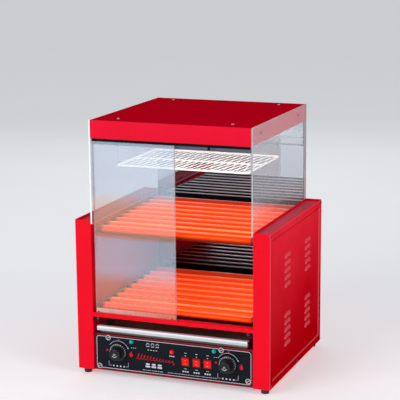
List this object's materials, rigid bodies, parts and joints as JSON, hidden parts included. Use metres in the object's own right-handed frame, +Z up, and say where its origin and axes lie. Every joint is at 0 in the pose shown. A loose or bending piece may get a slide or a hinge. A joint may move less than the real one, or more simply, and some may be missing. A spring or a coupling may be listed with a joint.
{
  "type": "hot dog roller grill",
  "caption": "Two-tier hot dog roller grill with chain-driven heated rollers in a glass case with sliding doors, warming rack, drip tray and dial controls.",
  "frame": {"origin": "middle of the footprint, on the surface that the feet stand on", "axes": "+X to the right, +Y to the back, +Z up; the doors and controls face -Y"},
  "size_m": [0.5648, 0.506, 0.715],
  "materials": {
    "red_paint": "gloss",
    "dark_red_paint": "gloss",
    "stainless": "satin",
    "mirror_steel": "polished",
    "zinc_steel": "satin",
    "aluminium": "satin",
    "black_label": "gloss",
    "black_plastic": "satin",
    "red_lens": "gloss",
    "teal_lens": "gloss",
    "clear_glass": "polished",
    "rubber": "matte",
    "ptfe": "satin",
    "motor_grey": "satin",
    "lamp_white": "gloss"
  },
  "bodies": {
    "cabinet": {"base_pan": "dark_red_paint", "feet": "rubber", "left_housing": "red_paint", "right_housing": "red_paint", "left_side_cover": "red_paint", "right_side_cover": "red_paint", "rear_panel": "red_paint", "cable_gland": "black_plastic", "mirror_panel": "mirror_steel", "front_rail": "red_paint", "control_panel": "dark_red_paint", "panel_label": "black_label", "screws": "zinc_steel", "switch_bodies": "black_plastic", "power_lamp": "red_lens", "heating_lamps": "teal_lens", "thermostats": "zinc_steel", "top_cover": "red_paint", "left_glass": "clear_glass", "right_glass": "clear_glass", "upper_door_track": "aluminium", "lower_door_track": "aluminium", "warming_rack": "stainless", "rack_hangers": "zinc_steel", "lamp_tube": "lamp_white", "lamp_holder": "aluminium", "roller_bushes": "ptfe", "heater_rods": "zinc_steel", "heater_brackets": "zinc_steel", "upper_chain": "zinc_steel", "lower_chain": "zinc_steel", "gear_motors": "motor_grey"},
    "left_dial": {"left_dial": "black_plastic"},
    "right_dial": {"right_dial": "black_plastic"},
    "upper_roller_switch": {"upper_roller_switch": "red_lens"},
    "lower_roller_switch": {"lower_roller_switch": "red_lens"},
    "light_switch": {"light_switch": "red_lens"},
    "drip_tray": {"drip_tray": "stainless"},
    "outer_door": {"outer_door": "clear_glass"},
    "inner_door": {"inner_door": "clear_glass"},
    "upper_motor_sprocket": {"upper_motor_sprocket": "zinc_steel"},
    "lower_motor_sprocket": {"lower_motor_sprocket": "zinc_steel"},
    "upper_roller_1": {"upper_roller_1": "stainless"},
    "upper_roller_2": {"upper_roller_2": "stainless"},
    "upper_roller_3": {"upper_roller_3": "stainless"},
    "upper_roller_4": {"upper_roller_4": "stainless"},
    "upper_roller_5": {"upper_roller_5": "stainless"},
    "upper_roller_6": {"upper_roller_6": "stainless"},
    "upper_roller_7": {"upper_roller_7": "stainless"},
    "upper_roller_8": {"upper_roller_8": "stainless"},
    "upper_roller_9": {"upper_roller_9": "stainless"},
    "lower_roller_1": {"lower_roller_1": "stainless"},
    "lower_roller_2": {"lower_roller_2": "stainless"},
    "lower_roller_3": {"lower_roller_3": "stainless"},
    "lower_roller_4": {"lower_roller_4": "stainless"},
    "lower_roller_5": {"lower_roller_5": "stainless"},
    "lower_roller_6": {"lower_roller_6": "stainless"},
    "lower_roller_7": {"lower_roller_7": "stainless"},
    "lower_roller_8": {"lower_roller_8": "stainless"},
    "lower_roller_9": {"lower_roller_9": "stainless"}
  },
  "joints": [
    {"name": "outer_door_slide", "type": "slide", "parent": "cabinet", "child": "outer_door", "axis": [1, 0, 0], "range_m": [-0.005, 0.215]},
    {"name": "inner_door_slide", "type": "slide", "parent": "cabinet", "child": "inner_door", "axis": [1, 0, 0], "range_m": [0, 0.22]},
    {"name": "drip_tray_slide", "type": "slide", "parent": "cabinet", "child": "drip_tray", "axis": [0, -1, 0], "range_m": [0, 0.36]},
    {"name": "left_dial_turn", "type": "hinge", "parent": "cabinet", "child": "left_dial", "pos_m": [-0.16, -0.2242, 0.072], "axis": [0, 1, 0], "range_deg": [0, 270]},
    {"name": "right_dial_turn", "type": "hinge", "parent": "cabinet", "child": "right_dial", "pos_m": [0.16, -0.2242, 0.072], "axis": [0, 1, 0], "range_deg": [0, 270]},
    {"name": "upper_roller_switch_rock", "type": "hinge", "parent": "cabinet", "child": "upper_roller_switch", "pos_m": [0.038, -0.2192, 0.067], "axis": [-1, 0, 0], "range_deg": [0, 20]},
    {"name": "lower_roller_switch_rock", "type": "hinge", "parent": "cabinet", "child": "lower_roller_switch", "pos_m": [0.07, -0.2192, 0.067], "axis": [-1, 0, 0], "range_deg": [0, 20]},
    {"name": "light_switch_rock", "type": "hinge", "parent": "cabinet", "child": "light_switch", "pos_m": [0.102, -0.2192, 0.067], "axis": [-1, 0, 0], "range_deg": [0, 20]},
    {"name": "upper_roller_1_spin", "type": "hinge", "parent": "cabinet", "child": "upper_roller_1", "pos_m": [0, -0.184, 0.405], "axis": [1, 0, 0], "continuous": true},
    {"name": "upper_roller_2_spin", "type": "hinge", "parent": "cabinet", "child": "upper_roller_2", "pos_m": [0, -0.13751, 0.40597], "axis": [1, 0, 0], "continuous": true},
    {"name": "upper_roller_3_spin", "type": "hinge", "parent": "cabinet", "child": "upper_roller_3", "pos_m": [0, -0.09102, 0.40695], "axis": [1, 0, 0], "continuous": true},
    {"name": "upper_roller_4_spin", "type": "hinge", "parent": "cabinet", "child": "upper_roller_4", "pos_m": [0, -0.04453, 0.40792], "axis": [1, 0, 0], "continuous": true},
    {"name": "upper_roller_5_spin", "type": "hinge", "parent": "cabinet", "child": "upper_roller_5", "pos_m": [0, 0.00196, 0.4089], "axis": [1, 0, 0], "continuous": true},
    {"name": "upper_roller_6_spin", "type": "hinge", "parent": "cabinet", "child": "upper_roller_6", "pos_m": [0, 0.04845, 0.40987], "axis": [1, 0, 0], "continuous": true},
    {"name": "upper_roller_7_spin", "type": "hinge", "parent": "cabinet", "child": "upper_roller_7", "pos_m": [0, 0.09494, 0.41084], "axis": [1, 0, 0], "continuous": true},
    {"name": "upper_roller_8_spin", "type": "hinge", "parent": "cabinet", "child": "upper_roller_8", "pos_m": [0, 0.14143, 0.41182], "axis": [1, 0, 0], "continuous": true},
    {"name": "upper_roller_9_spin", "type": "hinge", "parent": "cabinet", "child": "upper_roller_9", "pos_m": [0, 0.18792, 0.41279], "axis": [1, 0, 0], "continuous": true},
    {"name": "upper_motor_spin", "type": "hinge", "parent": "cabinet", "child": "upper_motor_sprocket", "pos_m": [-0.25, 0.00421, 0.30153], "axis": [1, 0, 0], "continuous": true},
    {"name": "lower_roller_1_spin", "type": "hinge", "parent": "cabinet", "child": "lower_roller_1", "pos_m": [0, -0.184, 0.187], "axis": [1, 0, 0], "continuous": true},
    {"name": "lower_roller_2_spin", "type": "hinge", "parent": "cabinet", "child": "lower_roller_2", "pos_m": [0, -0.13751, 0.18797], "axis": [1, 0, 0], "continuous": true},
    {"name": "lower_roller_3_spin", "type": "hinge", "parent": "cabinet", "child": "lower_roller_3", "pos_m": [0, -0.09102, 0.18895], "axis": [1, 0, 0], "continuous": true},
    {"name": "lower_roller_4_spin", "type": "hinge", "parent": "cabinet", "child": "lower_roller_4", "pos_m": [0, -0.04453, 0.18992], "axis": [1, 0, 0], "continuous": true},
    {"name": "lower_roller_5_spin", "type": "hinge", "parent": "cabinet", "child": "lower_roller_5", "pos_m": [0, 0.00196, 0.1909], "axis": [1, 0, 0], "continuous": true},
    {"name": "lower_roller_6_spin", "type": "hinge", "parent": "cabinet", "child": "lower_roller_6", "pos_m": [0, 0.04845, 0.19187], "axis": [1, 0, 0], "continuous": true},
    {"name": "lower_roller_7_spin", "type": "hinge", "parent": "cabinet", "child": "lower_roller_7", "pos_m": [0, 0.09494, 0.19284], "axis": [1, 0, 0], "continuous": true},
    {"name": "lower_roller_8_spin", "type": "hinge", "parent": "cabinet", "child": "lower_roller_8", "pos_m": [0, 0.14143, 0.19382], "axis": [1, 0, 0], "continuous": true},
    {"name": "lower_roller_9_spin", "type": "hinge", "parent": "cabinet", "child": "lower_roller_9", "pos_m": [0, 0.18792, 0.19479], "axis": [1, 0, 0], "continuous": true},
    {"name": "lower_motor_spin", "type": "hinge", "parent": "cabinet", "child": "lower_motor_sprocket", "pos_m": [-0.25, 0.00421, 0.08353], "axis": [1, 0, 0], "continuous": true}
  ],
  "couplings": [
    {"joint": "upper_roller_2_spin", "follows": "upper_roller_1_spin", "ratio": 1},
    {"joint": "upper_roller_3_spin", "follows": "upper_roller_1_spin", "ratio": 1},
    {"joint": "upper_roller_4_spin", "follows": "upper_roller_1_spin", "ratio": 1},
    {"joint": "upper_roller_5_spin", "follows": "upper_roller_1_spin", "ratio": 1},
    {"joint": "upper_roller_6_spin", "follows": "upper_roller_1_spin", "ratio": 1},
    {"joint": "upper_roller_7_spin", "follows": "upper_roller_1_spin", "ratio": 1},
    {"joint": "upper_roller_8_spin", "follows": "upper_roller_1_spin", "ratio": 1},
    {"joint": "upper_roller_9_spin", "follows": "upper_roller_1_spin", "ratio": 1},
    {"joint": "upper_motor_spin", "follows": "upper_roller_1_spin", "ratio": 1},
    {"joint": "lower_roller_2_spin", "follows": "lower_roller_1_spin", "ratio": 1},
    {"joint": "lower_roller_3_spin", "follows": "lower_roller_1_spin", "ratio": 1},
    {"joint": "lower_roller_4_spin", "follows": "lower_roller_1_spin", "ratio": 1},
    {"joint": "lower_roller_5_spin", "follows": "lower_roller_1_spin", "ratio": 1},
    {"joint": "lower_roller_6_spin", "follows": "lower_roller_1_spin", "ratio": 1},
    {"joint": "lower_roller_7_spin", "follows": "lower_roller_1_spin", "ratio": 1},
    {"joint": "lower_roller_8_spin", "follows": "lower_roller_1_spin", "ratio": 1},
    {"joint": "lower_roller_9_spin", "follows": "lower_roller_1_spin", "ratio": 1},
    {"joint": "lower_motor_spin", "follows": "lower_roller_1_spin", "ratio": 1}
  ]
}
